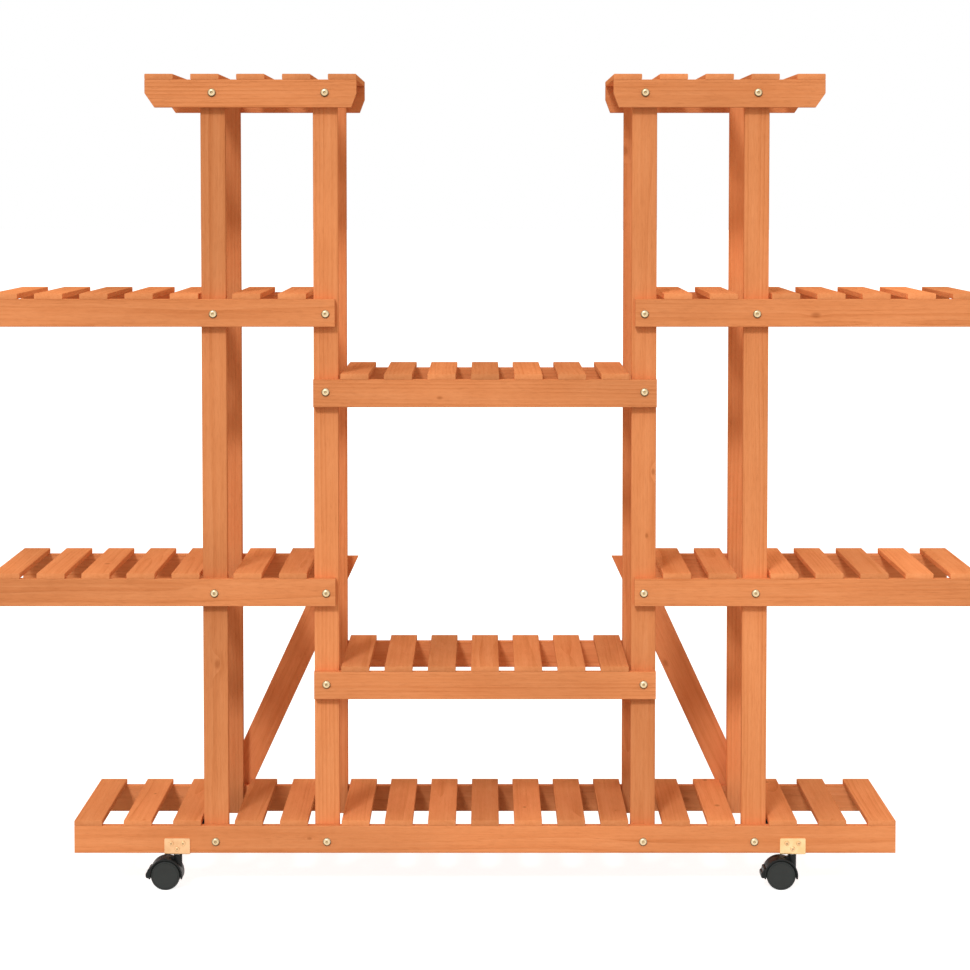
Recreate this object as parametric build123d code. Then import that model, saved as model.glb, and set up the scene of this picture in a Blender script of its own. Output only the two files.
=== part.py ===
from build123d import *
import math
import os

# Wooden plant stand on casters: posts and rails of stained softwood, slatted shelves on six levels.
#
# Units are millimetres. +X runs along the stand's width, +Y goes from its front to its back, +Z is up.
# The origin is on the floor, under the middle of the stand's overall width and depth.

# Boards
rail_height = 34.5
rail_thickness = 12.0
post_width = 31.0
post_thickness = 12.0
slat_width = 35.0
slat_thickness = 7.0
brace_width = 36.0
brace_thickness = 12.0
board_easing = 1.4
rail_easing = 0.8
slat_easing = 1.0

# Plan of the stand, as distances from its middle plane and depths from the front rails' faces
stand_depth = 250.0
outer_post_x = 338.2
inner_post_x = 198.5
bottom_shelf_reach = 515.7
side_shelf_reach = 616.5
top_shelf_reach = 421.4
top_shelf_width = 262.0
side_rail_setback = 4.0
slat_post_gap = 3.0
slat_pair_gap = 8.5

# Levels of the rails' lower edges above the lower edge of the bottom rails
lower_middle_rise = 194.8
lower_side_rise = 312.0
upper_middle_rise = 561.5
upper_side_rise = 661.7
top_rise = 933.7
post_top_gap = 0.5

# Cut corners at the ends of the top rails
top_outer_cut_length = 12.0
top_outer_cut_height = 17.5
top_inner_cut_length = 6.5
top_inner_cut_height = 17.0

# Bolts, each with its height above the lower edge of the rail that it holds, and insert nuts let
# flush into the posts' outer faces
bottom_bolt_rise = 14.6
lower_middle_bolt_rise = 18.8
lower_side_bolt_rise = 16.4
upper_middle_bolt_rise = 19.0
upper_side_bolt_rise = 16.2
top_bolt_rise = 18.4
bolt_diameter = 6.0
bolt_hole_clearance = 0.2
bolt_engagement = 8.5
bolt_head_diameter = 10.4
bolt_head_height = 3.2
bolt_head_round = 2.4
socket_width = 3.0
socket_depth = 1.6
nut_diameter = 9.0
nut_length = 9.6
nut_end_gap = 0.2
nut_bore_clearance = 0.05
flange_diameter = 11.5
flange_height = 1.0

# Diagonal braces on the back of the stand
brace_end_setback = 4.5
brace_bolt_offset = 2.5

# Caster brackets, bent from sheet steel and screwed to the outer faces of the bottom rails
caster_x = 386.5
bracket_width = 32.0
bracket_height = 19.0
bracket_reach = 24.0
bracket_thickness = 1.5
bracket_bend_radius = 2.0
bracket_corner_radius = 1.5
screw_diameter = 3.5
screw_length = 11.0
screw_hole_clearance = 0.1
screw_head_diameter = 6.0
screw_head_height = 1.3
screw_head_round = 0.9
screw_spacing = 14.8
upper_screw_rise = 12.5
lower_screw_rise = 5.4

# Casters
caster_inset = 8.0
caster_trail = 14.7
caster_width = 28.0
caster_web = 6.0
wheel_diameter = 36.5
wheel_side_gap = 0.8
wheel_edge = 1.2
cap_groove_radius = 16.2
cap_groove_width = 0.8
cap_groove_depth = 0.5
hood_gap = 1.0
hood_wall = 2.0
hood_skirt = 4.0
hood_hub_diameter = 11.0
boss_diameter = 10.6
boss_height = 43.4
boss_rib_drop = 1.5
axle_diameter = 5.0
axle_engagement = 7.0
axle_end_gap = 0.3
running_clearance = 0.05
press_clearance = 0.01
kingpin_diameter = 6.0
kingpin_depth = 11.6
kingpin_end_gap = 0.4
kingpin_tenon_diameter = 4.6
collar_diameter = 9.6
collar_height = 1.0
collar_gap = 0.1

# Brake pedals of the front casters
pedal_width = 22.0
pedal_side_gap = 0.3
pedal_barrel_diameter = 4.8
pedal_tread_gap = 0.15
pedal_lug_height = 3.9
pedal_lug_round = 2.6
pedal_pivot_angle = 162.0
pedal_lug_angle = 170.0
pedal_tip_angle = 189.5
pedal_window_gap = 0.5
trunnion_diameter = 1.8
pedal_ear_diameter = 4.4

# One overrun serves every cut
overrun = 5.0

# Places worked out from the sizes above
wheel_radius = wheel_diameter / 2
caster_height = boss_height + collar_gap + collar_height
frame_bottom = caster_height + bracket_thickness
front_overhang = max(
    caster_width / 2 - caster_inset, bolt_head_height, bracket_thickness + screw_head_height
)
back_overhang = brace_thickness + bolt_head_height
overall_depth = front_overhang + stand_depth + back_overhang
rail_front_y = front_overhang - overall_depth / 2
rail_back_y = rail_front_y + stand_depth
front_post_y = rail_front_y + rail_thickness
back_post_y = rail_back_y - rail_thickness - post_thickness
top_level = frame_bottom + top_rise
post_height = top_rise + rail_height - post_top_gap
bolt_hole_radius = bolt_diameter / 2 + bolt_hole_clearance
hood_inner_radius = wheel_radius + hood_gap
hood_outer_radius = hood_inner_radius + hood_wall

LEFT, RIGHT = -1, 1
SIDES = {"left": LEFT, "right": RIGHT}
FROM_FLOOR = (Align.CENTER, Align.CENTER, Align.MIN)

parts = {}


def group(pieces):
    """Separate solids that share one node."""
    return Compound([solid for piece in pieces for solid in piece.solids()])


def board(size_x, size_y, size_z, grain, easing):
    """A planed board with its lower front edge's middle at the origin and its long edges eased."""
    blank = Box(size_x, size_y, size_z, align=(Align.CENTER, Align.MIN, Align.MIN))
    return fillet(blank.edges().filter_by(grain), easing)


def bar_along_y(radius, start, end, x, z):
    """A round bar along Y, for a bolt hole or a shaft."""
    return Pos(x, (start + end) / 2, z) * Rot(X=90) * Cylinder(radius, end - start)


def drilled(piece, places, radius=bolt_hole_radius):
    """The piece with a hole through its whole depth at each (x, z)."""
    box = piece.bounding_box()
    for x, z in places:
        piece -= bar_along_y(radius, box.min.Y - overrun, box.max.Y + overrun, x, z)
    return piece


def spread(first, last, count):
    """Evenly spaced places from the first to the last."""
    return [first + (last - first) * i / (count - 1) for i in range(count)]


# Posts


def bolt_levels(post_x):
    """Heights of the bolts through a post, from the bottom shelf to the top one."""
    rises = [
        (0.0, bottom_bolt_rise),
        (lower_side_rise, lower_side_bolt_rise),
        (upper_side_rise, upper_side_bolt_rise),
        (top_rise, top_bolt_rise),
    ]
    if abs(post_x) == inner_post_x:
        rises.append((lower_middle_rise, lower_middle_bolt_rise))
        rises.append((upper_middle_rise, upper_middle_bolt_rise))
    return sorted(frame_bottom + rise + bolt_rise for rise, bolt_rise in rises)


def blind_bar(radius, face_y, inward, depth, x, z):
    """A round bar that reaches this deep into a face; inward is the way into the wood along Y."""
    start, end = sorted((face_y - inward * overrun, face_y + inward * depth))
    return bar_along_y(radius, start, end, x, z)


def post(x, y, inward):
    """A post with a stepped blind bore for each insert nut in its outer face."""
    blank = board(post_width, post_thickness, post_height, Axis.Z, board_easing)
    placed = Pos(x, y, frame_bottom) * blank
    outer_face_y = y if inward > 0 else y + post_thickness
    for z in bolt_levels(x):
        for diameter, depth in (
            (nut_diameter, nut_length + nut_end_gap),
            (flange_diameter, flange_height),
        ):
            radius = diameter / 2 + press_clearance
            placed -= blind_bar(radius, outer_face_y, inward, depth, x, z)
    return placed


def make_posts():
    for row, y, inward in (("front", front_post_y, 1), ("back", back_post_y, -1)):
        for side, sign in SIDES.items():
            parts[f"outer_post_{row}_{side}"] = post(sign * outer_post_x, y, inward)
            parts[f"inner_post_{row}_{side}"] = post(sign * inner_post_x, y, inward)


# Rails


def rail(x_from, x_to, y, level, bolt_rise, bolt_places):
    """A rail between two places along X, drilled for the bolts of the posts that it crosses."""
    blank = board(x_to - x_from, rail_thickness, rail_height, Axis.X, rail_easing)
    placed = Pos((x_from + x_to) / 2, y, level) * blank
    return drilled(placed, [(x, level + bolt_rise) for x in bolt_places])


def corner_cut(end_x, inward, length, height):
    """The wedge sawn off a top rail's lower corner; inward is the direction into the rail."""
    outline = Polyline(
        (end_x - inward * overrun, top_level - overrun),
        (end_x + inward * length * (height + overrun) / height, top_level - overrun),
        (end_x - inward * overrun, top_level + height * (length + overrun) / length),
        close=True,
    )
    wedge = extrude(Plane.XZ * make_face(outline), amount=overall_depth, both=True)
    return wedge


def top_rail(sign, y):
    outer_end = sign * top_shelf_reach
    inner_end = sign * (top_shelf_reach - top_shelf_width)
    places = [sign * outer_post_x, sign * inner_post_x]
    x_from, x_to = sorted((outer_end, inner_end))
    blank = rail(x_from, x_to, y, top_level, top_bolt_rise, places)
    blank -= corner_cut(outer_end, -sign, top_outer_cut_length, top_outer_cut_height)
    blank -= corner_cut(inner_end, sign, top_inner_cut_length, top_inner_cut_height)
    return blank


def bottom_rail(y):
    """A rail of the bottom shelf, with pilot holes for the screws of its two caster brackets."""
    posts = [-outer_post_x, -inner_post_x, inner_post_x, outer_post_x]
    blank = rail(-bottom_shelf_reach, bottom_shelf_reach, y, frame_bottom, bottom_bolt_rise, posts)
    pilot_radius = screw_diameter / 2 + screw_hole_clearance
    pilots = [
        (sign * caster_x + dx, frame_bottom + dz)
        for sign in SIDES.values()
        for dx, dz in screw_places()
    ]
    return drilled(blank, pilots, pilot_radius)


def side_rail(sign, y, rise, bolt_rise):
    outer_end = sign * side_shelf_reach
    inner_end = sign * (inner_post_x - post_width / 2 + side_rail_setback)
    places = [sign * outer_post_x, sign * inner_post_x]
    x_from, x_to = sorted((outer_end, inner_end))
    return rail(x_from, x_to, y, frame_bottom + rise, bolt_rise, places)


def middle_rail(y, rise, bolt_rise):
    end = inner_post_x + post_width / 2
    return rail(-end, end, y, frame_bottom + rise, bolt_rise, [-inner_post_x, inner_post_x])


def make_rails():
    for row, y in (("front", rail_front_y), ("back", rail_back_y - rail_thickness)):
        parts[f"bottom_rail_{row}"] = bottom_rail(y)
        parts[f"lower_middle_rail_{row}"] = middle_rail(y, lower_middle_rise, lower_middle_bolt_rise)
        parts[f"upper_middle_rail_{row}"] = middle_rail(y, upper_middle_rise, upper_middle_bolt_rise)
        for side, sign in SIDES.items():
            lower = side_rail(sign, y, lower_side_rise, lower_side_bolt_rise)
            upper = side_rail(sign, y, upper_side_rise, upper_side_bolt_rise)
            parts[f"lower_side_rail_{row}_{side}"] = lower
            parts[f"upper_side_rail_{row}_{side}"] = upper
            parts[f"top_rail_{row}_{side}"] = top_rail(sign, y)


# Slats


def slats(places, rise):
    """The slats of one shelf, lying across its two rails and flush with their outer faces."""
    blank = board(slat_width, stand_depth, slat_thickness, Axis.Y, slat_easing)
    level = frame_bottom + rise + rail_height
    return group([Pos(x, rail_front_y, level) * blank for x in places])


def outer_slat_places(reach, count):
    """Slats from a shelf's outer end to the outer post."""
    by_post = outer_post_x + post_width / 2 + slat_post_gap + slat_width / 2
    return spread(reach - slat_width / 2, by_post, count)


def pair_slat_places():
    """The two slats between the outer and the inner post."""
    from_post = post_width / 2 + slat_pair_gap + slat_width / 2
    return [outer_post_x - from_post, inner_post_x + from_post]


def middle_slat_places():
    """The seven slats between the two inner posts."""
    end = inner_post_x - post_width / 2 - slat_post_gap - slat_width / 2
    return spread(-end, end, 7)


def make_slats():
    bottom_side = outer_slat_places(bottom_shelf_reach, 3) + pair_slat_places()
    bottom = [sign * x for sign in SIDES.values() for x in bottom_side] + middle_slat_places()
    parts["bottom_slats"] = slats(bottom, 0.0)
    parts["lower_middle_slats"] = slats(middle_slat_places(), lower_middle_rise)
    parts["upper_middle_slats"] = slats(middle_slat_places(), upper_middle_rise)
    side_places = outer_slat_places(side_shelf_reach, 5) + pair_slat_places()
    top_places = spread(
        top_shelf_reach - slat_width / 2,
        top_shelf_reach - top_shelf_width + slat_width / 2,
        5,
    )
    for side, sign in SIDES.items():
        parts[f"lower_side_slats_{side}"] = slats([sign * x for x in side_places], lower_side_rise)
        parts[f"upper_side_slats_{side}"] = slats([sign * x for x in side_places], upper_side_rise)
        parts[f"top_slats_{side}"] = slats([sign * x for x in top_places], top_rise)


# Braces


def brace_bolt_places(sign):
    """The bolts that a brace shares with the back rails: bottom outer post, lower side inner post."""
    return [
        (sign * outer_post_x, frame_bottom + bottom_bolt_rise),
        (sign * inner_post_x, frame_bottom + lower_side_rise + lower_side_bolt_rise),
    ]


def brace(sign):
    """A leaning board, sawn level at both ends, a little inside the outer edges of the two rails."""
    (low_x, low_z), (high_x, high_z) = brace_bolt_places(sign)
    run, climb = abs(high_x - low_x), high_z - low_z
    span = math.hypot(run, climb)
    lean = math.degrees(math.atan2(run, climb) + math.asin(2 * brace_bolt_offset / span))
    level_from = frame_bottom + brace_end_setback
    level_to = frame_bottom + lower_side_rise + rail_height - brace_end_setback
    length = 2 * (level_to - level_from)
    blank = board(brace_width, brace_thickness, length, Axis.Z, board_easing)
    turned = Rot(Y=-sign * lean) * Pos(0, 0, -length / 2) * blank
    placed = Pos((low_x + high_x) / 2, rail_back_y, (low_z + high_z) / 2) * turned
    slab = Box(2 * side_shelf_reach, 2 * overall_depth, level_to - level_from, align=FROM_FLOOR)
    sawn = placed & Pos(0, 0, level_from) * slab
    return drilled(sawn, brace_bolt_places(sign))


def make_braces():
    for side, sign in SIDES.items():
        parts[f"brace_{side}"] = brace(sign)


# Bolts and nuts


def bolt(grip):
    """A bolt for a stack of boards this thick: its head's seat is at the origin, its head above."""
    head = Cylinder(bolt_head_diameter / 2, bolt_head_height, align=FROM_FLOOR)
    head = fillet(head.edges().group_by(Axis.Z)[-1], bolt_head_round)
    socket = RegularPolygon(socket_width / 2, 6, major_radius=False)
    head -= Pos(0, 0, bolt_head_height - socket_depth) * extrude(socket, bolt_head_height)
    shank = grip + bolt_engagement
    return head + Pos(0, 0, -shank) * Cylinder(bolt_diameter / 2, shank, align=FROM_FLOOR)


def nut():
    """A flanged insert nut, its flange's outer face at the origin and its barrel up along Z."""
    barrel = Cylinder(nut_diameter / 2, nut_length, align=FROM_FLOOR)
    flange = Cylinder(flange_diameter / 2, flange_height, align=FROM_FLOOR)
    bore = Cylinder(bolt_diameter / 2 + nut_bore_clearance, overall_depth)
    return barrel + flange - bore


def crossings():
    """Every place where a bolt joins a rail to a post, as (x, z)."""
    return [
        (sign * post_x, z)
        for sign in SIDES.values()
        for post_x in (outer_post_x, inner_post_x)
        for z in bolt_levels(post_x)
    ]


def make_bolts():
    plain = bolt(rail_thickness)
    long = bolt(brace_thickness + rail_thickness)
    braced = [place for sign in SIDES.values() for place in brace_bolt_places(sign)]
    front = [Pos(x, rail_front_y, z) * Rot(X=90) * plain for x, z in crossings()]
    back = [
        Pos(x, rail_back_y, z) * Rot(X=-90) * plain
        for x, z in crossings()
        if (x, z) not in braced
    ]
    brace_back_y = rail_back_y + brace_thickness
    parts["frame_bolts"] = group(front + back)
    parts["brace_bolts"] = group([Pos(x, brace_back_y, z) * Rot(X=-90) * long for x, z in braced])
    outer_faces = ((front_post_y, -90), (back_post_y + post_thickness, 90))
    parts["frame_nuts"] = group(
        [Pos(x, y, z) * Rot(X=turn) * nut() for y, turn in outer_faces for x, z in crossings()]
    )


# Casters: each is modelled with its swivel axis on Z, its outer side towards -Y and its wheels
# trailing towards -X. Side outlines are drawn about the wheels' axle.


def screw_places():
    """A bracket's screws, as (x, z) from the middle of its rail's lower edge."""
    return [
        (-screw_spacing / 2, upper_screw_rise),
        (screw_spacing / 2, upper_screw_rise),
        (0.0, lower_screw_rise),
    ]


def bracket():
    """An angle of sheet steel: one leg on the rail's outer face, the other under the rail."""
    leg_height = bracket_height + bracket_thickness
    leg = Box(bracket_width, bracket_thickness, leg_height, align=(Align.CENTER, Align.MAX, Align.MIN))
    leg = fillet(
        leg.edges().filter_by(Axis.Y).group_by(Axis.Z)[-1], bracket_corner_radius
    )
    foot_align = (Align.CENTER, Align.MIN, Align.MIN)
    foot = Box(bracket_width, bracket_reach, bracket_thickness, align=foot_align)
    foot = fillet(
        foot.edges().filter_by(Axis.Z).group_by(Axis.Y)[-1], bracket_corner_radius
    )
    angle = leg + foot
    bend = angle.edges().filter_by(Axis.X).sort_by(lambda edge: edge.center().Y + edge.center().Z)[0]
    angle = fillet(bend, bracket_bend_radius)
    places = [(x, bracket_thickness + z) for x, z in screw_places()]
    hole_radius = screw_diameter / 2 + screw_hole_clearance
    for x, z in places:
        angle -= bar_along_y(hole_radius, -overrun, bracket_thickness, x, z)
    tenon_radius = kingpin_tenon_diameter / 2 + press_clearance
    angle -= Pos(0, caster_inset, 0) * Cylinder(tenon_radius, 2 * bracket_reach)
    return Pos(0, -caster_inset, caster_height) * angle


def kingpin():
    """The swivel pin, with a collar under the bracket and a tenon riveted flush in it."""
    shank_top = boss_height + collar_gap
    shank_bottom = boss_height - kingpin_depth
    shank_length = shank_top - shank_bottom
    shank = Cylinder(kingpin_diameter / 2, shank_length, align=FROM_FLOOR)
    collar = Cylinder(collar_diameter / 2, collar_height, align=FROM_FLOOR)
    tenon = Cylinder(kingpin_tenon_diameter / 2, bracket_thickness, align=FROM_FLOOR)
    pin = Pos(0, 0, shank_bottom) * shank + Pos(0, 0, shank_top) * collar
    return pin + Pos(0, 0, caster_height) * tenon


def screws():
    """The three pan-head screws of one bracket."""
    head = Cylinder(screw_head_diameter / 2, screw_head_height, align=FROM_FLOOR)
    head = fillet(head.edges().group_by(Axis.Z)[-1], screw_head_round)
    shank_length = screw_length + bracket_thickness
    shank = Cylinder(screw_diameter / 2, shank_length, align=FROM_FLOOR)
    screw = Rot(X=90) * (head + Pos(0, 0, -shank_length) * shank)
    face_y = -caster_inset - bracket_thickness
    return [Pos(x, face_y, frame_bottom + z) * screw for x, z in screw_places()]


def side_profile(sketch, half_width):
    """An outline seen from the side, made solid across the caster about the axle."""
    solid = extrude(Plane.XZ * sketch, amount=half_width, both=True)
    return Pos(-caster_trail, 0, wheel_radius) * solid


def polar(radius, angle):
    """A point about the axle; 0 degrees points towards the swivel axis, 90 up."""
    turn = math.radians(angle)
    return (radius * math.cos(turn), radius * math.sin(turn))


def ring_sector(inner, outer, angle_from, angle_to):
    """A piece of a ring about the axle."""
    middle = (angle_from + angle_to) / 2
    outline = [
        ThreePointArc(polar(inner, angle_from), polar(inner, middle), polar(inner, angle_to)),
        Line(polar(inner, angle_to), polar(outer, angle_to)),
        ThreePointArc(polar(outer, angle_to), polar(outer, middle), polar(outer, angle_from)),
        Line(polar(outer, angle_from), polar(inner, angle_from)),
    ]
    return make_face(outline)


def pedal_pivot():
    """The pedal's pivot about the axle: its barrel just clears the treads."""
    radius = wheel_radius + pedal_tread_gap + pedal_barrel_diameter / 2
    return polar(radius, pedal_pivot_angle)


def hood(braked):
    """The moulded housing: a fender over both wheels, a web between them and the kingpin's boss."""
    skirt_angle = math.degrees(math.asin(hood_skirt / hood_inner_radius))
    fender = ring_sector(hood_inner_radius, hood_outer_radius, -skirt_angle, 180 + skirt_angle)
    body = side_profile(fender, caster_width / 2)
    web = ring_sector(axle_diameter / 2, hood_outer_radius, -skirt_angle, 180 + skirt_angle)
    hub = Circle(hood_hub_diameter / 2)
    rise = boss_height - wheel_radius
    rib = make_face(
        Polyline(
            (caster_trail, rise - boss_rib_drop),
            (-caster_trail / 3, hood_outer_radius - hood_wall),
            (caster_trail, hood_inner_radius / 2),
            close=True,
        )
    )
    body += side_profile(web + hub + rib, caster_web / 2)
    boss = Pos(0, 0, wheel_radius) * Cylinder(boss_diameter / 2, rise, align=FROM_FLOOR)
    for side in SIDES.values():
        space_width = caster_width / 2 - caster_web / 2 + overrun
        space = Rot(X=90) * Cylinder(hood_inner_radius, space_width)
        middle_y = side * (caster_web + space_width) / 2
        boss -= Pos(-caster_trail, middle_y, wheel_radius) * space
    body += boss
    body -= side_profile(Circle(axle_diameter / 2 + running_clearance), caster_width)
    bore_depth = kingpin_depth + kingpin_end_gap
    bore = Cylinder(kingpin_diameter / 2 + running_clearance, bore_depth + overrun, align=FROM_FLOOR)
    body -= Pos(0, 0, boss_height - bore_depth) * bore
    if braked:
        ears = Pos(*pedal_pivot()) * Circle(pedal_ear_diameter / 2) - Circle(hood_inner_radius)
        body += side_profile(ears, caster_width / 2)
        body -= pedal_window()
        trunnion_hole = Pos(*pedal_pivot()) * Circle(trunnion_diameter / 2 + running_clearance)
        body -= side_profile(trunnion_hole, caster_width)
    return body


def pedal_window():
    """The notch in the back of the hood that the pedal moves in."""
    window_top = pedal_barrel_diameter / 2 + pedal_window_gap
    top_angle = pedal_pivot_angle - math.degrees(window_top / hood_inner_radius)
    skirt_cut_angle = 180 + 2 * math.degrees(math.asin(hood_skirt / hood_inner_radius))
    inner = wheel_radius - pedal_window_gap
    notch = ring_sector(inner, hood_outer_radius + overrun, top_angle, skirt_cut_angle)
    return side_profile(notch, pedal_width / 2 + pedal_side_gap)


def pedal():
    """The brake pedal: a curved lug that hugs the treads, on a barrel with a trunnion at each end."""
    shoe_radius = wheel_radius + pedal_tread_gap
    lug_radius = hood_outer_radius + pedal_lug_height
    barrel = Pos(*pedal_pivot()) * Circle(pedal_barrel_diameter / 2)
    neck_top = shoe_radius + pedal_barrel_diameter
    neck = ring_sector(shoe_radius, neck_top, pedal_pivot_angle, pedal_tip_angle)
    lug = ring_sector(shoe_radius, lug_radius, pedal_lug_angle, pedal_tip_angle)
    corners = lug.vertices().filter_by(lambda corner: math.hypot(corner.X, corner.Y) > neck_top)
    lug = fillet(corners, pedal_lug_round)
    lever = side_profile(barrel + neck + lug, pedal_width / 2)
    trunnion = Pos(*pedal_pivot()) * Circle(trunnion_diameter / 2)
    return lever + side_profile(trunnion, caster_width / 2 - pedal_side_gap)


def wheels():
    """Two solid wheels with blind bores, pressed on the ends of one axle."""
    inner_face = caster_web / 2 + wheel_side_gap
    width = caster_width / 2 - inner_face
    wheel = Cylinder(wheel_radius, width, align=FROM_FLOOR)
    wheel = chamfer(wheel.edges().filter_by(GeomType.CIRCLE), wheel_edge)
    groove = Circle(cap_groove_radius) - Circle(cap_groove_radius - cap_groove_width)
    wheel -= Pos(0, 0, width - cap_groove_depth) * extrude(groove, overrun)
    bore_radius = axle_diameter / 2 + press_clearance
    bore_depth = axle_engagement + axle_end_gap
    wheel -= Pos(0, 0, -overrun) * Cylinder(bore_radius, bore_depth + overrun, align=FROM_FLOOR)
    outer = Rot(X=90) * Pos(0, 0, inner_face) * wheel
    pair = [outer, Rot(Z=180) * outer]
    return [Pos(-caster_trail, 0, wheel_radius) * piece for piece in pair]


def axle():
    reach = caster_web / 2 + wheel_side_gap + axle_engagement
    return side_profile(Circle(axle_diameter / 2), reach)


def make_casters():
    kingpins, all_screws = [], []
    for row, axis_y, turn, trail_turn in (
        ("front", rail_front_y + caster_inset, 0, 0),
        ("back", rail_back_y - caster_inset, 180, 90),
    ):
        for side, sign in SIDES.items():
            seat = Pos(sign * caster_x, axis_y, 0) * Rot(Z=turn)
            swivel = Pos(sign * caster_x, axis_y, 0) * Rot(Z=trail_turn)
            kingpins.append(seat * kingpin())
            all_screws.extend(seat * screw for screw in screws())
            parts[f"caster_bracket_{row}_{side}"] = seat * bracket()
            parts[f"caster_hood_{row}_{side}"] = swivel * hood(row == "front")
            parts[f"caster_axle_{row}_{side}"] = swivel * axle()
            parts[f"caster_wheels_{row}_{side}"] = group([swivel * wheel for wheel in wheels()])
            if row == "front":
                parts[f"brake_pedal_{side}"] = swivel * pedal()
    parts["caster_kingpins"] = group(kingpins)
    parts["caster_screws"] = group(all_screws)


def main():
    make_posts()
    make_rails()
    make_slats()
    make_braces()
    make_bolts()
    make_casters()
    os.makedirs("parts", exist_ok=True)
    for name, shape in parts.items():
        export_step(shape, f"parts/{name}.step")
    print(len(parts), "nodes")


main()
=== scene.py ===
import math
import random

import bmesh
import bpy
from mathutils import Euler, Matrix, Vector


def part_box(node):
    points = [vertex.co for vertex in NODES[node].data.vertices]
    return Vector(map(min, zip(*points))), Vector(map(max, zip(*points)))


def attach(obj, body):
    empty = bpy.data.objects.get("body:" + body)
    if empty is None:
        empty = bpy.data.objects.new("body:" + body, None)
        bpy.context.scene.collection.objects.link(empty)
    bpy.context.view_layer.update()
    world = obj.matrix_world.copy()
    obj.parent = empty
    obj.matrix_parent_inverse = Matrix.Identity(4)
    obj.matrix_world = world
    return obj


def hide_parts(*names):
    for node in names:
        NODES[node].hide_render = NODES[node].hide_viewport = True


# Wooden plant stand on casters, in the CAD model's frame: its stained softwood, its zinc-plated
# fasteners and brackets and its black moulded casters. Lengths in these values are metres and
# angles degrees.

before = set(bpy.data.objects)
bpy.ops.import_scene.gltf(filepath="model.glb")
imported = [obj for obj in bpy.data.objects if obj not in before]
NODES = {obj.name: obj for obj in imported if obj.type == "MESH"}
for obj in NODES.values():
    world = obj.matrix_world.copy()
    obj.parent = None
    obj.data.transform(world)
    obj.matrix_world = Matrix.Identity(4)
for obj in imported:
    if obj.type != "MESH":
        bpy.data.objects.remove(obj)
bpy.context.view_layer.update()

SIDES = ("left", "right")
ROWS = ("front", "back")
SIDE_SIGN = {"left": -1, "right": 1}

# Slats: those beside a post stand a little off it
SLAT_WIDTH = 0.035
SLAT_POST_GAP = 0.003
SLAT_PAIR_GAP = 0.0085
SLAT_EASING = 0.001
SLAT_ARRIS = 0.0004
OUTER_SLATS = {"bottom": 3, "lower_side": 5, "upper_side": 5}
MIDDLE_SLATS = 7
TOP_SLATS = 5

# A brace's bolts stand off its middle line
BRACE_BOLT_OFFSET = 0.005

# Height of each level's bolts above the lower edge of its rails
BOLT_RISE = {
    "bottom": 0.0146,
    "lower_middle": 0.0188,
    "lower_side": 0.0164,
    "upper_middle": 0.0190,
    "upper_side": 0.0162,
    "top": 0.0184,
}
LEVELS_OF_POST = {
    "outer": ("bottom", "lower_side", "upper_side", "top"),
    "inner": ("bottom", "lower_middle", "lower_side", "upper_middle", "upper_side", "top"),
}

# Bolts
BOLT_RADIUS = 0.003
BOLT_TIP_BREAK = 0.0009
BOLT_LEAD = 0.0005
BOLT_ENGAGEMENT = 0.0085
HEAD_RADIUS = 0.0052
HEAD_HEIGHT = 0.0032
HEAD_DOME = 0.0033
HEAD_DOME_DROP = 0.0026
HEAD_SEAT_BREAK = 0.0001
SOCKET_APOTHEM = 0.0015
SOCKET_DEPTH = 0.0016
SOCKET_BREAK = 0.00018
SOCKET_CONE = 0.0004
THREAD_PITCH = 0.001
THREAD_DEPTH = 0.00042
THREAD_SHOWN = 0.004

# Insert nuts
NUT_RADIUS = 0.0045
NUT_LENGTH = 0.0096
NUT_BORE = 0.00305
NUT_THREADS = 4
NUT_THREAD_DEPTH = 0.0005
NUT_NOSE = 0.0006
NUT_NOSE_TAPER = 0.0003
NUT_BREAK = 0.0002
FLANGE_RADIUS = 0.00575
FLANGE_HEIGHT = 0.001

# Screws, with their places above the lower edge of the rail
SCREW_RADIUS = 0.00175
SCREW_LENGTH = 0.0125
SCREW_POINT = 0.0025
SCREW_TIP_RADIUS = 0.0002
SCREW_HEAD_RADIUS = 0.003
SCREW_HEAD_HEIGHT = 0.0013
SCREW_HEAD_ROUND = 0.0009
RECESS_REACH = 0.0016
RECESS_WIDTH = 0.0006
RECESS_DEPTH = 0.0009
RECESS_MARGIN = 0.0002
SCREW_SPACING = 0.0148
UPPER_SCREW_RISE = 0.0125
LOWER_SCREW_RISE = 0.0054

# Points round a fastener, and round one with a cross recess
RING_POINTS = 24
RECESS_POINTS = 48

# Wood
RING_SPACING = 0.0048
WAVE_SCALE = 0.314159 / RING_SPACING
KNOT_CELLS = (13.0, 23.0, 0.0)
CELLS_WITHOUT_KNOT = 0.92
KNOT_SIZE = 0.035
KNOT_SIZE_SPREAD = 0.06
KNOT_BEND = 0.003
HEART_DRIFT = 0.022
WOOD_ROUGHNESS = 0.66
WOOD_RELIEF = 0.0004
WOOD_GLOSS = 0.0
WOOD_LIGHT = (0.82, 0.325, 0.138)
WOOD_MIDDLE = (0.74, 0.268, 0.104)
WOOD_DARK = (0.60, 0.188, 0.062)
KNOT_COLOUR = (0.34, 0.085, 0.022)
POST_TONES = {"outer_left": 0.90, "outer_right": 1.08, "inner_left": 1.05, "inner_right": 1.00}
RAIL_TONES = {
    "bottom": 1.06,
    "lower_middle": 1.05,
    "upper_middle": 0.98,
    "lower_side": 0.98,
    "upper_side": 1.05,
    "top": 0.95,
}
BRACE_TONE = 0.97
# Slat tone by shelf, partly the boards' own tone and partly painted light: the open side shelves
# painted lighter, the lower middle shelf, under the upper one, painted darker as shade.
SLAT_TONES_AND_PAINTED_LIGHT = {
    "bottom": 1.03,
    "lower_middle": 0.95,
    "upper_middle": 1.0,
    "lower_side": 1.05,
    "upper_side": 1.11,
    "top": 1.0,
}

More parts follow.
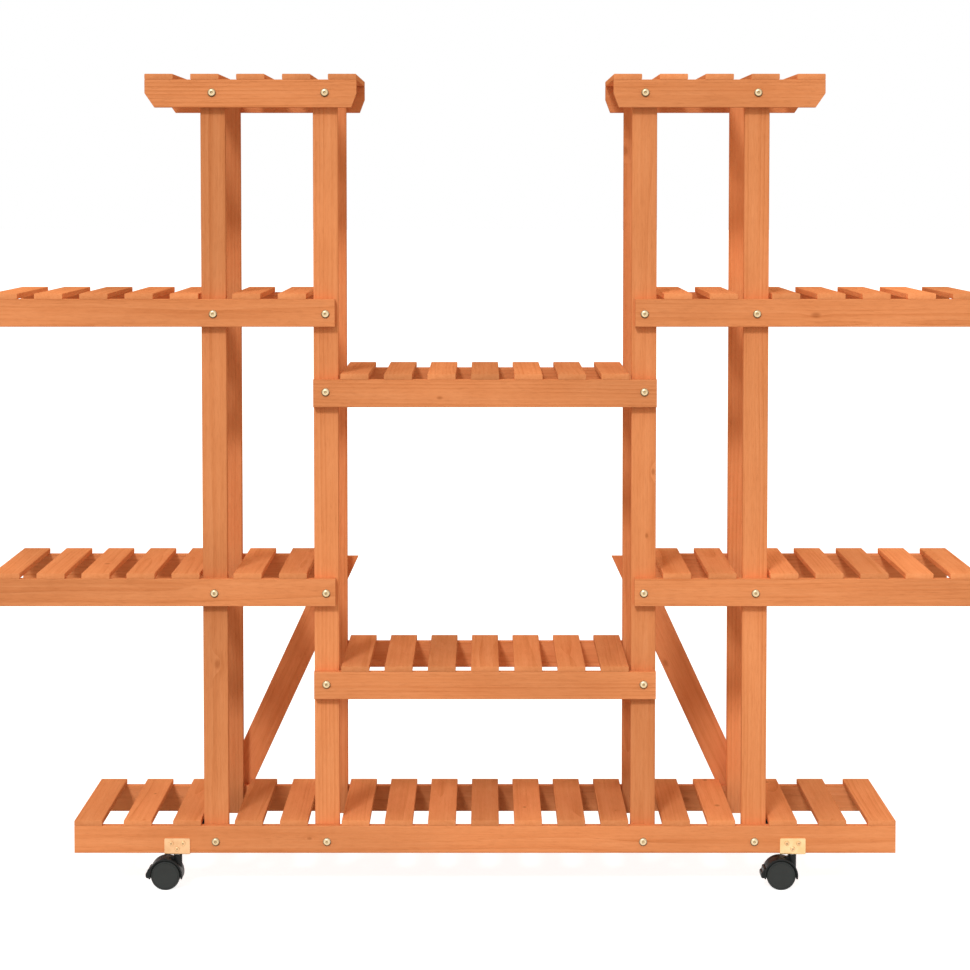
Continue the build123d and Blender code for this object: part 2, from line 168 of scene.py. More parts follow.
# Light on the stand, from a surround whose full white is 1 and from the key light, and the floor
AMBIENT = (0.86, 0.78, 0.66)
KEY_STRENGTH = 1.5
KEY_COLOUR = (0.90, 0.96, 1.0)
KEY_WIDTH = 9
KEY_AZIMUTH = 16
KEY_ELEVATION = 35
FLOOR_SIZE = 60.0
FLOOR_PAINT = (0.5, 0.5, 0.5)
FLOOR_LIFT = 0.86

# Camera
LENS = 103.91
SENSOR = 36.0
LENS_SHIFT = -0.14
CAMERA_DISTANCE = 3.476
CAMERA_HEIGHT = 0.8759
CAMERA_TILT = 3.226

chance = random.Random(41)


# Small helpers for nodes


def add_node(tree, kind, inputs=None, **settings):
    """A node with its settings, and its inputs linked to a socket or set to a value."""
    node = tree.nodes.new(kind)
    for name, value in settings.items():
        setattr(node, name, value)
    for name, value in (inputs or {}).items():
        if isinstance(value, bpy.types.NodeSocket):
            tree.links.new(value, node.inputs[name])
        else:
            node.inputs[name].default_value = value
    return node


def math_node(tree, operation, *values):
    node = add_node(tree, "ShaderNodeMath", dict(enumerate(values)), operation=operation)
    return node.outputs[0]


def vector_node(tree, operation, first, second):
    node = add_node(tree, "ShaderNodeVectorMath", {0: first, 1: second}, operation=operation)
    return node.outputs[0]


def remap(tree, value, from_min, from_max, to_min=0.0, to_max=1.0):
    """A value moved smoothly from one range to another, held at the ends."""
    inputs = {0: value, 1: from_min, 2: from_max, 3: to_min, 4: to_max}
    node = add_node(tree, "ShaderNodeMapRange", inputs, interpolation_type="SMOOTHSTEP")
    return node.outputs[0]


def scale_colour(tree, colour, factor):
    inputs = {0: colour, "Scale": factor}
    return add_node(tree, "ShaderNodeVectorMath", inputs, operation="SCALE").outputs[0]


def add_shares(tree, value, shares):
    """A value with a share of each further one added to it."""
    for further, share in shares:
        value = math_node(tree, "ADD", value, math_node(tree, "MULTIPLY", further, share))
    return value


def mix_colours(tree, share, first, second):
    node = add_node(tree, "ShaderNodeMix", data_type="RGBA")
    for index, value in ((0, share), (6, first), (7, second)):
        if isinstance(value, bpy.types.NodeSocket):
            tree.links.new(value, node.inputs[index])
        else:
            node.inputs[index].default_value = value if index == 0 else (*value, 1.0)
    return node.outputs[2]


def noise(tree, vector, stretch, detail=2.0, roughness=0.5, output="Fac"):
    """Noise with as many grains to a metre along each direction as stretch says."""
    scaled = vector_node(tree, "MULTIPLY", vector, stretch)
    inputs = {"Vector": scaled, "Scale": 1.0, "Detail": detail, "Roughness": roughness}
    return add_node(tree, "ShaderNodeTexNoise", inputs, noise_dimensions="3D").outputs[output]


def ramp(tree, value, stops):
    """A colour ramp through (place, colour) stops."""
    node = add_node(tree, "ShaderNodeValToRGB", {"Fac": value})
    elements = node.color_ramp.elements
    while len(elements) < len(stops):
        elements.new(0.5)
    for element, (place, colour) in zip(elements, stops):
        element.position = place
        element.color = (*colour, 1.0)
    return node.outputs["Color"]


def new_group(name, inputs):
    """A node group that puts out a surface's colour, roughness and height, with its sockets."""
    group = bpy.data.node_groups.new(name, "ShaderNodeTree")
    outputs = [("Color", "Color"), ("Roughness", "Float"), ("Height", "Float")]
    for direction, sockets in (("INPUT", inputs), ("OUTPUT", outputs)):
        for socket_name, kind in sockets:
            group.interface.new_socket(
                name=socket_name, in_out=direction, socket_type=f"NodeSocket{kind}"
            )
    source = group.nodes.new("NodeGroupInput").outputs
    sink = group.nodes.new("NodeGroupOutput").inputs
    return group, source, sink


def lead_to_shader(material, effect, gloss, bump_strength, bump_distance):
    """Leads a group's colour, roughness and height to a material's shader."""
    tree = material.node_tree
    shader = tree.nodes["Principled BSDF"]
    relief = {
        "Height": effect.outputs["Height"],
        "Strength": bump_strength,
        "Distance": bump_distance,
    }
    bump = add_node(tree, "ShaderNodeBump", relief)
    tree.links.new(effect.outputs["Color"], shader.inputs["Base Color"])
    tree.links.new(effect.outputs["Roughness"], shader.inputs["Roughness"])
    tree.links.new(bump.outputs[0], shader.inputs["Normal"])
    shader.inputs["Specular IOR Level"].default_value = gloss
    return shader


# Wood


def make_softwood_group():
    """Stained softwood in a board's own space: grain along X, width along Y, thickness along Z,
    with the tree's heart on the X axis."""
    tree, source, sink = new_group(
        "stained_softwood", [("Place", "Vector"), ("Tone", "Float"), ("End Grain", "Float")]
    )
    place = source["Place"]

    # Knots: a few cells of a flat pattern hold one, and the growth rings bend round it
    cells = add_node(
        tree,
        "ShaderNodeTexVoronoi",
        {"Vector": vector_node(tree, "MULTIPLY", place, KNOT_CELLS), "Scale": 1.0},
        voronoi_dimensions="2D",
        feature="F1",
    )
    draw = add_node(tree, "ShaderNodeSeparateColor", {0: cells.outputs["Color"]}).outputs
    held = math_node(tree, "GREATER_THAN", draw[0], CELLS_WITHOUT_KNOT)
    size = math_node(tree, "MULTIPLY_ADD", draw[1], KNOT_SIZE_SPREAD, KNOT_SIZE)
    reach = math_node(tree, "DIVIDE", cells.outputs["Distance"], size)
    core = math_node(tree, "MULTIPLY", remap(tree, reach, 0.3, 1.4, 1.0, 0.0), held)
    swirl = math_node(tree, "MULTIPLY", remap(tree, reach, 0.0, 4.0, 1.0, 0.0), held)

    # Growth rings
    drift = noise(tree, place, (1.7, 7.0, 7.0), 2.0, 0.5, "Color")
    drift = vector_node(tree, "SUBTRACT", drift, (0.5, 0.5, 0.5))
    drift = vector_node(tree, "MULTIPLY", drift, (0.0, HEART_DRIFT, HEART_DRIFT))
    lift = math_node(tree, "MULTIPLY", swirl, KNOT_BEND)
    bend = add_node(tree, "ShaderNodeCombineXYZ", {2: lift})
    drifted = vector_node(tree, "ADD", place, drift)
    drifted = vector_node(tree, "ADD", drifted, bend.outputs[0])
    drifted = vector_node(tree, "MULTIPLY", drifted, (0.05, 1.0, 1.0))
    rings = add_node(
        tree,
        "ShaderNodeTexWave",
        {
            "Vector": drifted,
            "Scale": WAVE_SCALE,
            "Distortion": 2.2,
            "Detail": 2.0,
            "Detail Scale": 0.35,
            "Detail Roughness": 0.6,
        },
        wave_type="RINGS",
        rings_direction="X",
        wave_profile="SAW",
    )
    late = math_node(tree, "POWER", rings.outputs["Fac"], 2.2)
    on_ends = math_node(tree, "MULTIPLY", source["End Grain"], 0.65)
    on_faces = math_node(tree, "SUBTRACT", 1.0, on_ends)
    late = math_node(tree, "MULTIPLY", late, on_faces)
    years = noise(tree, place, (1.5, 75.0, 75.0), 2.0, 0.6)
    late = math_node(tree, "MULTIPLY", late, remap(tree, years, 0.36, 0.64, 0.1, 1.4))

    # Fibres, fine dark flecks, blotches of stain and a slow change of tone along the board
    fibres = noise(tree, place, (28.0, 820.0, 820.0), 3.0, 0.6)
    flecks = remap(tree, noise(tree, place, (75.0, 2300.0, 2300.0), 2.0, 0.5), 0.55, 0.70)
    flecks = math_node(tree, "MULTIPLY", flecks, on_faces)
    streaks = noise(tree, place, (4.0, 230.0, 230.0), 3.0, 0.6)
    blotches = noise(tree, place, (14.0, 45.0, 45.0), 3.0, 0.55)
    slow = noise(tree, place, (3.2, 9.0, 9.0), 1.0, 0.5)

    shares = [(fibres, 0.26), (flecks, 0.13), (streaks, 0.44), (blotches, 0.33)]
    shade = add_shares(tree, math_node(tree, "MULTIPLY", late, 0.20), shares)
    colour = ramp(tree, shade, [(0.28, WOOD_LIGHT), (0.56, WOOD_MIDDLE), (0.95, WOOD_DARK)])
    tone = math_node(tree, "MULTIPLY", source["Tone"], remap(tree, slow, 0.3, 0.7, 0.93, 1.07))
    ends = remap(tree, source["End Grain"], 0.6, 0.95, 1.0, 0.97)
    tone = math_node(tree, "MULTIPLY", tone, ends)
    toned = scale_colour(tree, colour, tone)
    colour = mix_colours(tree, math_node(tree, "MULTIPLY", core, 0.5), toned, KNOT_COLOUR)
    tree.links.new(colour, sink["Color"])

    # The stain leaves the soft early wood duller, and the ends of the boards duller still
    roughness = math_node(tree, "MULTIPLY_ADD", shade, -0.18, WOOD_ROUGHNESS)
    dulled = math_node(tree, "MULTIPLY", source["End Grain"], 0.12)
    tree.links.new(math_node(tree, "ADD", roughness, dulled), sink["Roughness"])

    # Late wood stands a little proud, and the flecks are small hollows
    height = math_node(tree, "MULTIPLY", late, 0.5)
    height = add_shares(tree, height, [(fibres, 0.9), (streaks, 0.5), (flecks, -0.6)])
    tree.links.new(height, sink["Height"])
    return tree


SOFTWOOD = make_softwood_group()


def board_turn(grain, thickness):
    """The turn that lays a board's grain along X and its thickness along Z."""
    grain, thickness = Vector(grain), Vector(thickness)
    return Matrix((grain, thickness.cross(grain), thickness))


def heart_place():
    """Where a board was in its log: somewhere along the grain, and either flat above the heart or
    to one side of it."""
    along = chance.uniform(0.0, 40.0)
    if chance.random() < 0.5:
        across = chance.uniform(-0.012, 0.012)
        through = chance.uniform(0.022, 0.050)
    else:
        across = chance.choice((-1, 1)) * chance.uniform(0.035, 0.080)
        through = chance.uniform(0.0, 0.03)
    return Vector((along, across, through))


def wood_material(name, turn, shift, tone, grain, from_piece=False):
    """Stained softwood for one board, or for slats that carry their own shift and tone with painted
    light.
    """
    material = bpy.data.materials.new(name)
    material.use_nodes = True
    tree = material.node_tree
    coordinates = add_node(tree, "ShaderNodeTexCoord").outputs
    place = add_node(
        tree,
        "ShaderNodeMapping",
        {"Vector": coordinates["Object"], "Location": shift, "Rotation": turn.to_euler()},
    ).outputs[0]
    if from_piece:
        heart = add_node(tree, "ShaderNodeAttribute", attribute_name="heart_shift").outputs
        place = vector_node(tree, "ADD", place, heart["Vector"])
        tone = add_node(tree, "ShaderNodeAttribute", attribute_name="board_tone_and_light").outputs["Fac"]
    facing = add_node(
        tree,
        "ShaderNodeVectorMath",
        {0: coordinates["Normal"], 1: grain},
        operation="DOT_PRODUCT",
    ).outputs["Value"]
    inputs = {"Place": place, "End Grain": math_node(tree, "ABSOLUTE", facing), "Tone": tone}
    wood = add_node(tree, "ShaderNodeGroup", inputs, node_tree=SOFTWOOD)
    lead_to_shader(material, wood, WOOD_GLOSS, 0.55, WOOD_RELIEF)
    return material


def middle_of(node):
    low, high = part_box(node)
    return (low + high) / 2


def finish_board(node, grain, thickness, tone):
    """A CAD board's own cut of wood."""
    turn = board_turn(grain, thickness)
    shift = heart_place() - turn @ middle_of(node)
    NODES[node].material_slots[0].material = wood_material(
        f"wood_{node}", turn, shift, tone * chance.uniform(0.98, 1.02), grain
    )


def finish_boards():
    for row in ROWS:
        for kind in ("outer", "inner"):
            for side in SIDES:
                tone = POST_TONES[f"{kind}_{side}"]
                finish_board(f"{kind}_post_{row}_{side}", (0, 0, 1), (0, 1, 0), tone)
        for level, tone in RAIL_TONES.items():
            for node in sorted({rail_name(level, row, side) for side in SIDES}):
                finish_board(node, (1, 0, 0), (0, 1, 0), tone)
    for side in SIDES:
        lean = brace_lean(side)
        grain = (-SIDE_SIGN[side] * math.sin(lean), 0, math.cos(lean))
        finish_board(f"brace_{side}", grain, (0, 1, 0), BRACE_TONE)


def brace_lean(side):
    """A brace's turn from upright: its bolts are a little off its middle line."""
    (low_x, low_z), (high_x, high_z) = brace_bolt_places(side)
    run, climb = abs(high_x - low_x), high_z - low_z
    return math.atan2(run, climb) + math.asin(BRACE_BOLT_OFFSET / math.hypot(run, climb))


# Mesh helpers


def finished_object(name, bm, materials, body, replaced, smooth_angle=35):
    """A mesh object made from a bmesh, riding its body in place of the CAD nodes."""
    mesh = bpy.data.meshes.new(name)
    bm.to_mesh(mesh)
    bm.free()
    mesh.shade_smooth()
    mesh.set_sharp_from_angle(angle=math.radians(smooth_angle))
    for material in materials:
        mesh.materials.append(material)
    piece = bpy.data.objects.new(name, mesh)
    bpy.context.scene.collection.objects.link(piece)
    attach(piece, body)
    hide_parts(*replaced)
    return piece


def copies(blank, placements):
    """A bmesh with one copy of the blank at each placement."""
    bm = bmesh.new()
    for placement in placements:
        bm.from_mesh(blank)
        bm.verts.ensure_lookup_table()
        new = bm.verts[-len(blank.vertices) :]
        bmesh.ops.transform(bm, matrix=placement, verts=new)
    return bm


def blank_mesh(bm, name):
    bmesh.ops.recalc_face_normals(bm, faces=bm.faces)
    mesh = bpy.data.meshes.new(name)
    bm.to_mesh(mesh)
    bm.free()
    return mesh


# Slats


def slat_blank(length, thickness):
    """One slat about the origin, its long edges eased and its sawn ends just broken."""
    bm = bmesh.new()
    bmesh.ops.create_cube(
        bm, size=1.0, matrix=Matrix.Diagonal((SLAT_WIDTH, length, thickness, 1.0))
    )

    def ease(edges, offset, segments):
        bmesh.ops.bevel(
            bm,
            geom=edges,
            offset=offset,
            affect="EDGES",
            segments=segments,
            profile=0.5,
            material=-1,
            clamp_overlap=True,
        )

    end = length / 2
    long_edges = [e for e in bm.edges if abs(e.verts[0].co.y - e.verts[1].co.y) > end]
    ease(long_edges, SLAT_EASING, 4)
    end_edges = [e for e in bm.edges if all(abs(v.co.y) > end - 1e-6 for v in e.verts)]
    ease(end_edges, SLAT_ARRIS, 2)
    return blank_mesh(bm, "slat_blank")


def spread(first, last, count):
    return [first + (last - first) * i / (count - 1) for i in range(count)]


def pair_places():
    """The two slats between an outer and an inner post."""
    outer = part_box("outer_post_front_right")[0].x
    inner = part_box("inner_post_front_right")[1].x
    return [outer - SLAT_PAIR_GAP - SLAT_WIDTH / 2, inner + SLAT_PAIR_GAP + SLAT_WIDTH / 2]


def outer_places(level, reach):
    """Slats from a shelf's outer end to the outer post."""
    by_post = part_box("outer_post_front_right")[1].x + SLAT_POST_GAP + SLAT_WIDTH / 2
    return spread(reach - SLAT_WIDTH / 2, by_post, OUTER_SLATS[level])


def middle_places():
    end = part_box("inner_post_front_right")[0].x - SLAT_POST_GAP - SLAT_WIDTH / 2
    return spread(-end, end, MIDDLE_SLATS)


def shelf_places():
    """Each slat node's slats, as places along X."""
    bottom = outer_places("bottom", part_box("bottom_slats")[1].x) + pair_places()
    places = {
        "bottom_slats": [sign * x for sign in (-1, 1) for x in bottom] + middle_places(),
        "lower_middle_slats": middle_places(),
        "upper_middle_slats": middle_places(),
    }
    for level in ("lower_side", "upper_side"):
        side = outer_places(level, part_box(f"{level}_slats_right")[1].x) + pair_places()
        places[f"{level}_slats_left"] = [-x for x in side]
        places[f"{level}_slats_right"] = side
    low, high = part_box("top_slats_right")
    top = spread(high.x - SLAT_WIDTH / 2, low.x + SLAT_WIDTH / 2, TOP_SLATS)
    places["top_slats_left"] = [-x for x in top]
    places["top_slats_right"] = top
    return places


def carry(mesh, places, name, kind, field, values):
    """A point attribute with each slat's own value, from the slats' places along X."""
    layer = mesh.attributes.new(name, kind, "POINT")
    for vertex in mesh.vertices:
        nearest = min(range(len(places)), key=lambda i: abs(places[i] - vertex.co.x))
        setattr(layer.data[vertex.index], field, values[nearest])


def make_slats():
    grain, thickness = (0, 1, 0), (0, 0, 1)
    turn = board_turn(grain, thickness)
    material = wood_material("wood_slats", turn, (0, 0, 0), 1.0, grain, from_piece=True)
    for node, places in shelf_places().items():
        low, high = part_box(node)
        blank = slat_blank(high.y - low.y, high.z - low.z)
        middle = middle_of(node)
        middles = [Vector((x, middle.y, middle.z)) for x in places]
        bm = copies(blank, [Matrix.Translation(at) for at in middles])
        piece = finished_object(
            f"planed_{node}", bm, [material], "frame", [node], smooth_angle=50
        )
        shifts = [heart_place() - turn @ at for at in middles]
        # Each shelf's factor holds painted light as well as tone; each slat's own draw is random
        # tone.
        level_tone_and_light = SLAT_TONES_AND_PAINTED_LIGHT[node.split("_slats")[0]]
        tones_and_light = [level_tone_and_light * chance.uniform(0.87, 1.12) for _ in middles]
        carry(piece.data, places, "heart_shift", "FLOAT_VECTOR", "vector", shifts)
        carry(piece.data, places, "board_tone_and_light", "FLOAT", "value", tones_and_light)


# Bolts, nuts and screws: rings of points joined one to the next, round the Z axis


def circle_outline(_angle):
    return 1.0


def hexagon_outline(angle):
    """A hexagon's outline over its apothem."""
    sector = math.pi / 3
    return 1.0 / math.cos((angle + sector / 2) % sector - sector / 2)


def cross_outline(angle):
    """A cross recess's outline over its reach."""
    share = RECESS_WIDTH / 2 / RECESS_REACH
    across, along = abs(math.sin(angle)) + 1e-9, abs(math.cos(angle)) + 1e-9
    return max(min(1.0 / along, share / across), min(1.0 / across, share / along))


def ringed_body(rings, points, recess_from=None):
    """A closed body through rings given as (outline, size, height), capped at both ends. Its
    faces past one ring may be a recess, which has the second material."""
    bm = bmesh.new()
    bmesh.ops.create_circle(bm, cap_ends=False, segments=points, radius=1.0)
    first = ring = set(bm.verts)

    def edges_within(rim):
        return [e for e in bm.edges if e.verts[0] in rim and e.verts[1] in rim]

    for index, (outline, size, height) in enumerate(rings):
        if index:
            made = bmesh.ops.extrude_edge_only(bm, edges=edges_within(ring))["geom"]
            ring = {v for v in made if isinstance(v, bmesh.types.BMVert)}
            if recess_from is not None and index > recess_from:
                for face in (f for f in made if isinstance(f, bmesh.types.BMFace)):
                    face.material_index = 1
        for vertex in ring:
            angle = math.atan2(vertex.co.y, vertex.co.x)
            radius = size * outline(angle)
            vertex.co = (radius * math.cos(angle), radius * math.sin(angle), height)
    for rim in (first, ring):
        bmesh.ops.contextual_create(bm, geom=edges_within(rim))
    return bm


def rounded_head(radius, height, rounding, drop, steps):
    """Rings of a head from its seat to its flat top, with a dome of a given width and drop."""
    rings = [
        (circle_outline, radius - HEAD_SEAT_BREAK, 0.0),
        (circle_outline, radius, HEAD_SEAT_BREAK),
    ]
    for i in range(steps + 1):
        turn = math.pi / 2 * i / steps
        out = radius - rounding + rounding * math.cos(turn)
        rings.append((circle_outline, out, height - drop + drop * math.sin(turn)))
    return rings


def bolt_blank(shank, name):
    """A button-head bolt, its seat at the origin: a threaded end below, a hexagon socket above."""
    root = BOLT_RADIUS - THREAD_DEPTH
    thread_low = BOLT_LEAD - shank
    rings = [
        (circle_outline, BOLT_RADIUS - BOLT_TIP_BREAK, -shank),
        (circle_outline, root, thread_low),
    ]
    for i in range(round(THREAD_SHOWN / THREAD_PITCH)):
        base = thread_low + i * THREAD_PITCH
        rings += [
            (circle_outline, BOLT_RADIUS, base + 0.42 * THREAD_PITCH),
            (circle_outline, BOLT_RADIUS, base + 0.58 * THREAD_PITCH),
            (circle_outline, root, base + THREAD_PITCH),
        ]
    top, floor = HEAD_HEIGHT, HEAD_HEIGHT - SOCKET_DEPTH
    rings += [
        (circle_outline, BOLT_RADIUS, THREAD_SHOWN + THREAD_PITCH - shank),
        (circle_outline, BOLT_RADIUS, 0.0),
        *rounded_head(HEAD_RADIUS, HEAD_HEIGHT, HEAD_DOME, HEAD_DOME_DROP, 7),
        (hexagon_outline, SOCKET_APOTHEM + SOCKET_BREAK, top),
        (hexagon_outline, SOCKET_APOTHEM, top - SOCKET_BREAK),
        (hexagon_outline, SOCKET_APOTHEM, floor),
        (circle_outline, SOCKET_APOTHEM * 0.9, floor),
        (circle_outline, SOCKET_APOTHEM * 0.1, floor - SOCKET_CONE),
    ]
    return blank_mesh(ringed_body(rings, RING_POINTS, len(rings) - 4), name)


def nut_blank():
    """A flanged insert nut: its flange at the origin, its coarsely threaded barrel up along Z."""
    root = NUT_RADIUS - NUT_THREAD_DEPTH
    rings = [
        (circle_outline, NUT_BORE + 2 * NUT_BREAK, 0.0),
        (circle_outline, FLANGE_RADIUS - NUT_BREAK, 0.0),
        (circle_outline, FLANGE_RADIUS, NUT_BREAK),
        (circle_outline, FLANGE_RADIUS, FLANGE_HEIGHT),
    ]
    pitch = (NUT_LENGTH - FLANGE_HEIGHT - NUT_NOSE) / NUT_THREADS
    for i in range(NUT_THREADS):
        base = FLANGE_HEIGHT + i * pitch
        rings += [
            (circle_outline, root, base),
            (circle_outline, root, base + 0.45 * pitch),
            (circle_outline, NUT_RADIUS, base + 0.7 * pitch),
            (circle_outline, NUT_RADIUS, base + 0.8 * pitch),
        ]
    rings += [
        (circle_outline, root, NUT_LENGTH - NUT_NOSE),
        (circle_outline, root - NUT_NOSE_TAPER, NUT_LENGTH),
        (circle_outline, NUT_BORE + NUT_BREAK, NUT_LENGTH),
        (circle_outline, NUT_BORE, NUT_LENGTH - NUT_BREAK),
        (circle_outline, NUT_BORE, 2 * NUT_BREAK),
    ]
    body = ringed_body(rings, RING_POINTS)
    caps = [face for face in body.faces if len(face.verts) > 4]
    rims = [edge for face in caps for edge in face.edges]
    bmesh.ops.delete(body, geom=caps, context="FACES_ONLY")
    bmesh.ops.bridge_loops(body, edges=rims)
    return blank_mesh(body, "nut_blank")


def screw_blank():
    """A pan-head screw with a cross recess, its seat at the origin."""
    top = SCREW_HEAD_HEIGHT
    rings = [
        (circle_outline, SCREW_TIP_RADIUS, -SCREW_LENGTH),
        (circle_outline, SCREW_RADIUS, SCREW_POINT - SCREW_LENGTH),
        (circle_outline, SCREW_RADIUS, 0.0),
        *rounded_head(SCREW_HEAD_RADIUS, top, SCREW_HEAD_ROUND, SCREW_HEAD_ROUND, 5),
        (circle_outline, RECESS_REACH + RECESS_MARGIN, top),
        (cross_outline, RECESS_REACH, top),
        (cross_outline, RECESS_REACH * 0.8, top - RECESS_DEPTH * 0.7),
        (cross_outline, RECESS_REACH * 0.45, top - RECESS_DEPTH),
    ]
    return blank_mesh(ringed_body(rings, RECESS_POINTS, len(rings) - 3), "screw_blank")


def rail_name(level, row, side):
    """The rail of a level; the bottom and middle ones have no side of their own."""
    own_side = "side" in level or level == "top"
    return f"{level}_rail_{row}" + (f"_{side}" if own_side else "")


def crossings(row):
    """Where bolts go through the posts of a row, as (kind, side, level, x, z)."""
    found = []
    for kind, levels in LEVELS_OF_POST.items():
        for side in SIDES:
            x = middle_of(f"{kind}_post_{row}_{side}").x
            for level in levels:
                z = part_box(rail_name(level, row, side))[0].z + BOLT_RISE[level]
                found.append((kind, side, level, x, z))
    return found


def is_braced(kind, level):
    return (kind, level) in (("outer", "bottom"), ("inner", "lower_side"))


def brace_bolt_places(side):
    """The lower and the upper bolt of a brace, as (x, z)."""
    places = []
    for kind, at, level, x, z in crossings("back"):
        if at == side and is_braced(kind, level):
            places.append((x, z))
    return sorted(places, key=lambda place: place[1])


def along_y(x, y, z, towards_back):
    """Puts a fastener's axis along Y, its head towards the front or the back, turned at random."""
    tilt = Matrix.Rotation(math.radians(-90 if towards_back else 90), 4, "X")
    turn = Matrix.Rotation(chance.uniform(0, math.tau), 4, "Z")
    return Matrix.Translation((x, y, z)) @ tilt @ turn


def make_bolts_and_nuts():
    """Every crossing's bolt and nut; the back row's braced crossings have longer bolts."""
    front_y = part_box("bottom_rail_front")[0].y
    back_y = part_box("bottom_rail_back")[1].y
    brace_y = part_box("brace_left")[1].y
    front_nut_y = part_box("outer_post_front_left")[0].y
    back_nut_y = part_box("outer_post_back_left")[1].y
    plain, braced, nuts = [], [], []
    for _kind, _side, _level, x, z in crossings("front"):
        plain.append(along_y(x, front_y, z, False))
        nuts.append(along_y(x, front_nut_y, z, True))
    for kind, _side, level, x, z in crossings("back"):
        if is_braced(kind, level):
            braced.append(along_y(x, brace_y, z, True))
        else:
            plain.append(along_y(x, back_y, z, True))
        nuts.append(along_y(x, back_nut_y, z, False))
    plain_blank = bolt_blank(front_nut_y - front_y + BOLT_ENGAGEMENT, "plain_bolt_blank")
    long_blank = bolt_blank(brace_y - back_nut_y + BOLT_ENGAGEMENT, "long_bolt_blank")
    # The bolt heads carry painted shade round their flank, darker towards the bottom.
    finish = plated_material(
        "yellow_zinc_bolts", (0.70, 0.52, 0.29), (0.82, 0.66, 0.42), 0.30, 0.7, painted_shade=0.92
    )
    # The socket's darker colour is painted shade in the hollow.
    shaded_recess = plated_material("bolt_recess_painted_shade", (0.50, 0.36, 0.19), (0.60, 0.46, 0.26), 0.5, 0.6)
    nut_finish = plated_material("yellow_zinc_nuts", (0.64, 0.45, 0.20), (0.76, 0.58, 0.32), 0.34)
    bolt_finishes = [finish, shaded_recess]
    for name, blank, placements, slot_name, finishes, node in (
        ("button_head_bolts", plain_blank, plain, "bolt_zinc", bolt_finishes, "frame_bolts"),
        ("long_button_head_bolts", long_blank, braced, "bolt_zinc", bolt_finishes, "brace_bolts"),
        ("flanged_nuts", nut_blank(), nuts, "nut_zinc", [nut_finish], "frame_nuts"),
    ):
        bm = copies(blank, placements)
        finished_object(name, bm, finishes, "frame", [node])


def make_screws():
    """Three screws in each caster bracket."""
    placements = []
    for row in ROWS:
        rail_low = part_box(f"bottom_rail_{row}")[0].z
        for side in SIDES:
            low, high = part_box(f"caster_bracket_{row}_{side}")
            x, y = (low.x + high.x) / 2, low.y if row == "front" else high.y
            for dx, dz in (
                (-SCREW_SPACING / 2, UPPER_SCREW_RISE),
                (SCREW_SPACING / 2, UPPER_SCREW_RISE),
                (0.0, LOWER_SCREW_RISE),
            ):
                placements.append(along_y(x + dx, y, rail_low + dz, row == "back"))
    finish = plated_material("yellow_zinc_screws", (0.74, 0.45, 0.23), (0.79, 0.52, 0.28), 0.42)
    # The cross recess's darker colour is painted shade in the hollow.
    shaded_recess = plated_material("screw_recess_painted_shade", (0.46, 0.33, 0.17), (0.56, 0.42, 0.23), 0.5, 0.6)
    bm = copies(screw_blank(), placements)
    finished_object(
        "pan_head_screws", bm, [finish, shaded_recess], "frame", ["caster_screws"]
    )


# Metal and plastic


def make_plating_group():
    """Passivated zinc: a tint that drifts between two colours, plating that is not quite even, and
    painted shade round the flank of a head, darker towards the bottom."""
    tree, source, sink = new_group(
        "passivated_zinc",
        [
            ("Place", "Vector"),
            ("Facing", "Vector"),
            ("Deep", "Color"),
            ("Pale", "Color"),
            ("Dullness", "Float"),
            ("Painted Shade", "Float"),
        ],
    )
    place = source["Place"]
    tint = remap(tree, noise(tree, place, (90.0, 90.0, 90.0), 2.0), 0.3, 0.7)
    specks = noise(tree, place, (1900.0, 1900.0, 1900.0), 2.0, 0.6)
    colour = mix_colours(tree, tint, source["Deep"], source["Pale"])
    facing = add_node(tree, "ShaderNodeSeparateXYZ", {0: source["Facing"]}).outputs
    front = math_node(tree, "ABSOLUTE", facing[1])
    flank = remap(tree, math_node(tree, "SUBTRACT", 1.0, front), 0.02, 0.32)
    # Painted shade: the flank of a head is darkened, more on its lower side, in place of the shade
    # its rim would catch.
    darker_below = remap(tree, facing[2], -0.7, 0.6, 1.0, 0.3)
    painted_shade = math_node(tree, "MULTIPLY", darker_below, source["Painted Shade"])
    painted_shade = math_node(tree, "MULTIPLY", flank, painted_shade)
    unshaded = math_node(tree, "SUBTRACT", 1.0, painted_shade)
    even = remap(tree, specks, 0.25, 0.75, 0.97, 1.02)
    shaded = scale_colour(tree, colour, math_node(tree, "MULTIPLY", even, unshaded))
    tree.links.new(shaded, sink["Color"])
    dull = remap(tree, noise(tree, place, (420.0, 420.0, 420.0), 3.0), 0.3, 0.7, -0.04, 0.08)
    dull = math_node(tree, "ADD", dull, math_node(tree, "MULTIPLY", painted_shade, 0.2))
    tree.links.new(math_node(tree, "ADD", source["Dullness"], dull), sink["Roughness"])
    tree.links.new(specks, sink["Height"])
    return tree


PLATING = make_plating_group()


def grouped_material(name, group, values, metallic, gloss, bump_strength, bump_distance):
    """A material whose colour, roughness and height come from a group on Object coordinates."""
    material = bpy.data.materials.new(name)
    material.use_nodes = True
    tree = material.node_tree
    coordinates = add_node(tree, "ShaderNodeTexCoord").outputs
    inputs = {"Place": coordinates["Object"], **values}
    effect = add_node(tree, "ShaderNodeGroup", inputs, node_tree=group)
    if "Facing" in effect.inputs:
        tree.links.new(coordinates["Normal"], effect.inputs["Facing"])
    shader = lead_to_shader(material, effect, gloss, bump_strength, bump_distance)
    shader.inputs["Metallic"].default_value = metallic
    return material


def plated_material(name, deep, pale, dullness, metallic=1.0, painted_shade=0.0):
    values = {"Deep": (*deep, 1.0), "Pale": (*pale, 1.0), "Dullness": dullness, "Painted Shade": painted_shade}
    return grouped_material(
        name, PLATING, values, metallic, gloss=0.5, bump_strength=0.1, bump_distance=0.00001
    )


